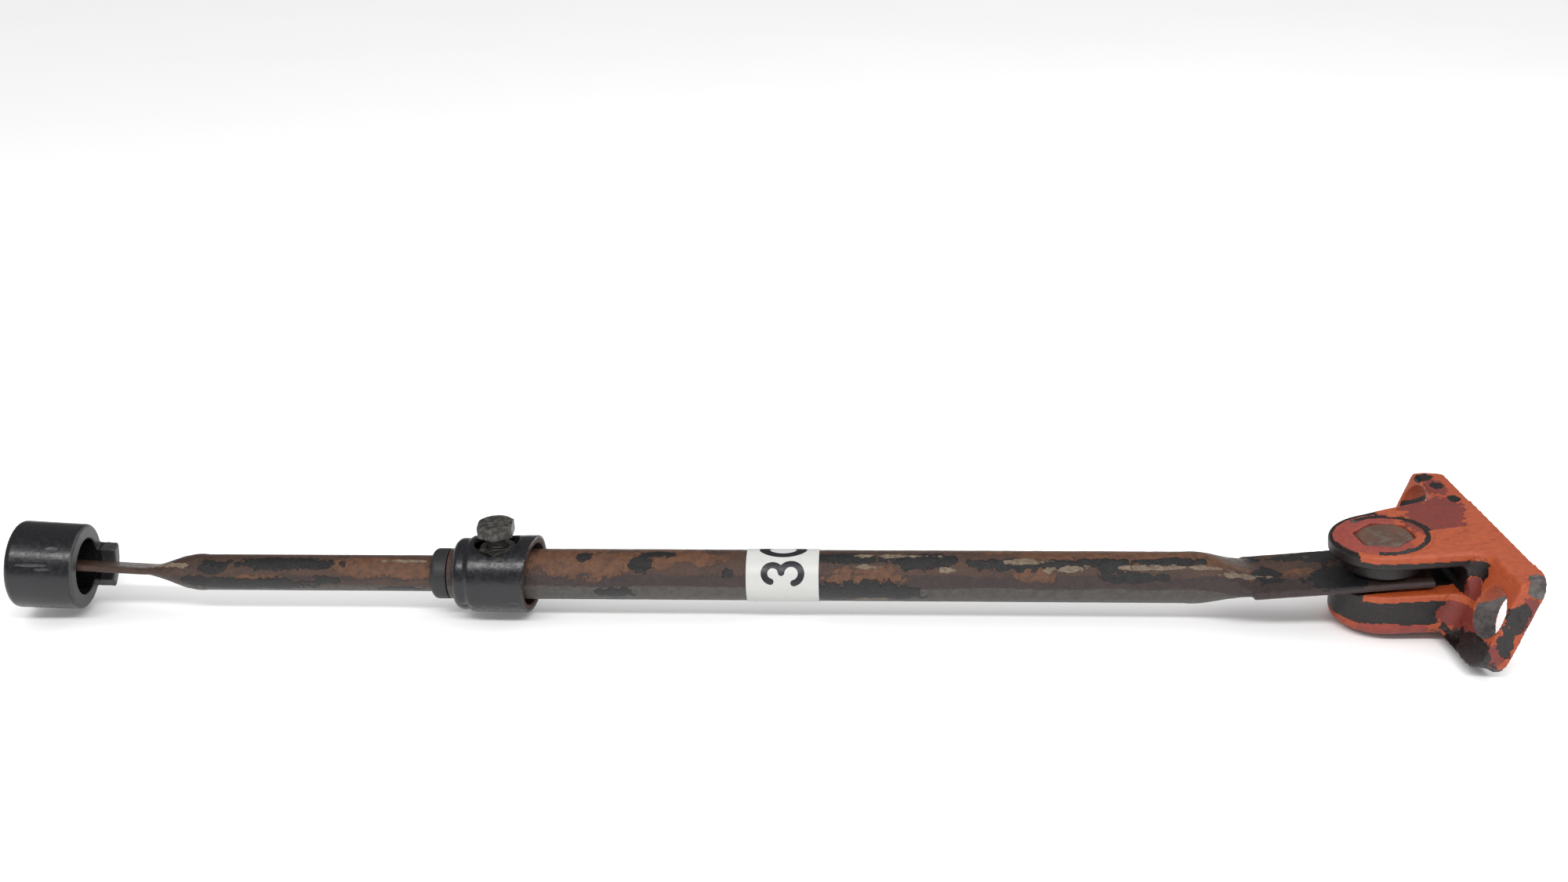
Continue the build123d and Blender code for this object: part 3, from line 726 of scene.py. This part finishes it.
def studio_world():
    """A white room; reflections see it dimmer than the surfaces do, so that dark paint stays dark."""
    world = bpy.data.worlds.new("studio")
    bpy.context.scene.world = world
    world.use_nodes = True
    tree = world.node_tree
    background = tree.nodes["Background"]
    background.inputs[0].default_value = (1.0, 1.0, 1.0, 1.0)
    paths = tree.nodes.new("ShaderNodeLightPath")
    dim = tree.nodes.new("ShaderNodeMath")
    dim.operation = "MULTIPLY_ADD"
    dim.inputs[1].default_value = GLOSSY_CHANGE
    dim.inputs[2].default_value = ROOM_STRENGTH
    tree.links.new(paths.outputs["Is Glossy Ray"], dim.inputs[0])
    tree.links.new(dim.outputs[0], background.inputs[1])


def softbox(name, place, target, width, depth, power):
    light = bpy.data.lights.new(name, "AREA")
    light.shape = "RECTANGLE"
    light.size = width
    light.size_y = depth
    light.energy = power
    lamp = bpy.data.objects.new(name, light)
    lamp.location = place
    lamp.rotation_euler = (Vector(target) - Vector(place)).to_track_quat("-Z", "Y").to_euler()
    bpy.context.scene.collection.objects.link(lamp)


def photo_camera():
    data = bpy.data.cameras.new("camera")
    data.lens = LENS_MM
    data.sensor_width = SENSOR_MM
    data.clip_start = CLIP_START
    camera = bpy.data.objects.new("camera", data)
    azimuth, elevation, roll = (math.radians(a) for a in CAMERA_ANGLES)
    level = math.cos(elevation)
    away = Vector((-math.sin(azimuth) * level, math.cos(azimuth) * level, -math.sin(elevation)))
    right = Vector((math.cos(azimuth), math.sin(azimuth), 0.0))
    up = right.cross(away)
    c, s = math.cos(roll), math.sin(roll)
    right, up = c * right + s * up, -s * right + c * up
    turned = Matrix((right, up, -away)).transposed().to_4x4()
    camera.matrix_world = Matrix.Translation(CAMERA_PLACE) @ turned
    bpy.context.scene.collection.objects.link(camera)
    bpy.context.scene.camera = camera


paper_floor(cad_box[0][2])
studio_world()
softbox("key", (-0.3, -0.8, 1.0), (-0.3, 0.0, 0.0), 1.7, 0.16, 14.0)
softbox("fill", (0.35, 0.5, 1.2), (-0.2, 0.0, 0.0), 0.9, 0.6, 4.0)
photo_camera()
bpy.context.scene.view_settings.view_transform = "Standard"
